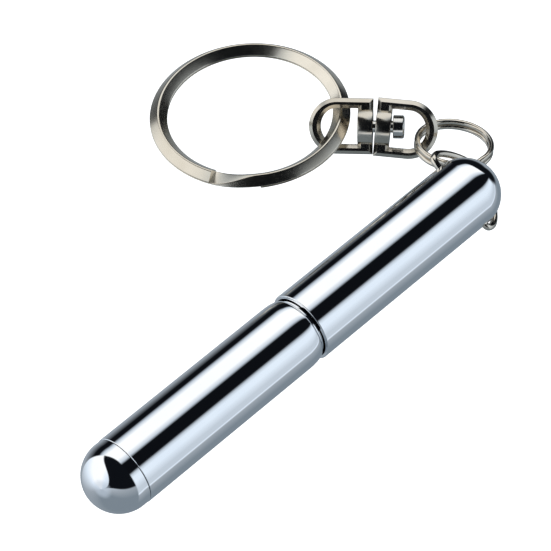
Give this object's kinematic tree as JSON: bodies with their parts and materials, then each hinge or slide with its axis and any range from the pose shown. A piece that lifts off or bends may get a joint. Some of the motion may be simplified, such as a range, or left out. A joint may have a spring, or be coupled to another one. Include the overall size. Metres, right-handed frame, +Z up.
{
  "type": "telescopic key-ring pen",
  "caption": "Slim domed metal capsule that pulls out into a ballpoint pen, its cap linked by a bent wire, a small split ring and a swivel to a large key ring.",
  "frame": {"origin": "centre of the bounding box's bottom face, on the surface the object rests on", "axes": "+X along the pen from its tail to its cap, +Y from the pen towards the large ring, +Z up"},
  "size_m": [0.0822, 0.052, 0.0101],
  "materials": {
    "barrel_chrome": "mirror-bright cool chrome plate on drawn brass",
    "tail_chrome": "mirror-bright cool chrome plate",
    "cap_chrome": "mirror-bright cool chrome plate on drawn brass",
    "stage_chrome": "bright chrome plate on drawn tube",
    "grip_chrome": "bright chrome plate",
    "liner_plastic": "moulded black plastic",
    "collar_brass": "turned brass",
    "spring_bronze": "rolled spring bronze",
    "refill_tube_plastic": "extruded translucent plastic",
    "refill_brass": "turned brass",
    "ball_steel": "ground steel ball",
    "wire_nickel": "bright warm nickel plate",
    "ring_nickel": "bright warm nickel plate",
    "swivel_nickel": "bright warm nickel plate on a casting",
    "rivet_steel": "bright nickel-plated rivet"
  },
  "bodies": {
    "barrel": {"barrel_tube": "barrel_chrome", "tail_plug": "tail_chrome"},
    "stage_1": {"stage_1_tube": "stage_chrome", "stage_1_collar": "collar_brass", "stage_1_spring": "spring_bronze"},
    "stage_2": {"stage_2_tube": "stage_chrome", "stage_2_collar": "collar_brass", "stage_2_spring": "spring_bronze"},
    "front": {"front_tube": "stage_chrome", "front_collar": "collar_brass", "front_spring": "spring_bronze", "grip_barrel": "grip_chrome", "nose_cone": "grip_chrome", "refill_tube": "refill_tube_plastic", "refill_tip": "refill_brass", "writing_ball": "ball_steel", "refill_stop": "liner_plastic"},
    "cap": {"cap_shell": "cap_chrome", "cap_liner": "liner_plastic"},
    "d_wire": {"cap_d_wire": "wire_nickel"},
    "small_ring": {"small_split_ring": "ring_nickel"},
    "swivel_pen_side": {"swivel_loop_pen_side": "swivel_nickel"},
    "swivel_ring_side": {"swivel_loop_ring_side": "swivel_nickel", "swivel_pin": "rivet_steel"},
    "large_ring": {"large_split_ring": "ring_nickel"}
  },
  "joints": [
    {"name": "stage_1_slide", "type": "slide", "parent": "barrel", "child": "stage_1", "axis": [1, 0, 0], "range_m": [0, 0.023]},
    {"name": "stage_2_slide", "type": "slide", "parent": "stage_1", "child": "stage_2", "axis": [1, 0, 0], "range_m": [0, 0.0265]},
    {"name": "front_slide", "type": "slide", "parent": "stage_2", "child": "front", "axis": [1, 0, 0], "range_m": [0, 0.0272]},
    {"name": "cap_slide", "type": "slide", "parent": "front", "child": "cap", "axis": [1, 0, 0], "range_m": [0, 0.032]},
    {"name": "d_wire_swing", "type": "hinge", "parent": "cap", "child": "d_wire", "pos_m": [0.02826, -0.02071, 0.00504], "axis": [0, 0.8796, 0.4756], "range_deg": [-110, 55]},
    {"name": "small_ring_swing", "type": "hinge", "parent": "d_wire", "child": "small_ring", "pos_m": [0.0347, -0.01586, 0.00363], "axis": [0.4751, -0.6141, -0.6302], "range_deg": [-6, 30]},
    {"name": "swivel_swing", "type": "hinge", "parent": "small_ring", "child": "swivel_pen_side", "pos_m": [0.03333, -0.00793, 0.00287], "axis": [-0.8745, -0.4062, 0.2651], "range_deg": [-45, 45]},
    {"name": "swivel_spin", "type": "hinge", "parent": "swivel_pen_side", "child": "swivel_ring_side", "pos_m": [0.02977, -0.0025, 0.00344], "axis": [-0.6622, 0.7482, -0.04], "continuous": true},
    {"name": "large_ring_swing", "type": "hinge", "parent": "swivel_ring_side", "child": "large_ring", "pos_m": [0.02692, 0.00114, 0.00337], "axis": [0.8288, 0.5569, -0.055], "range_deg": [-10, 50]}
  ]
}
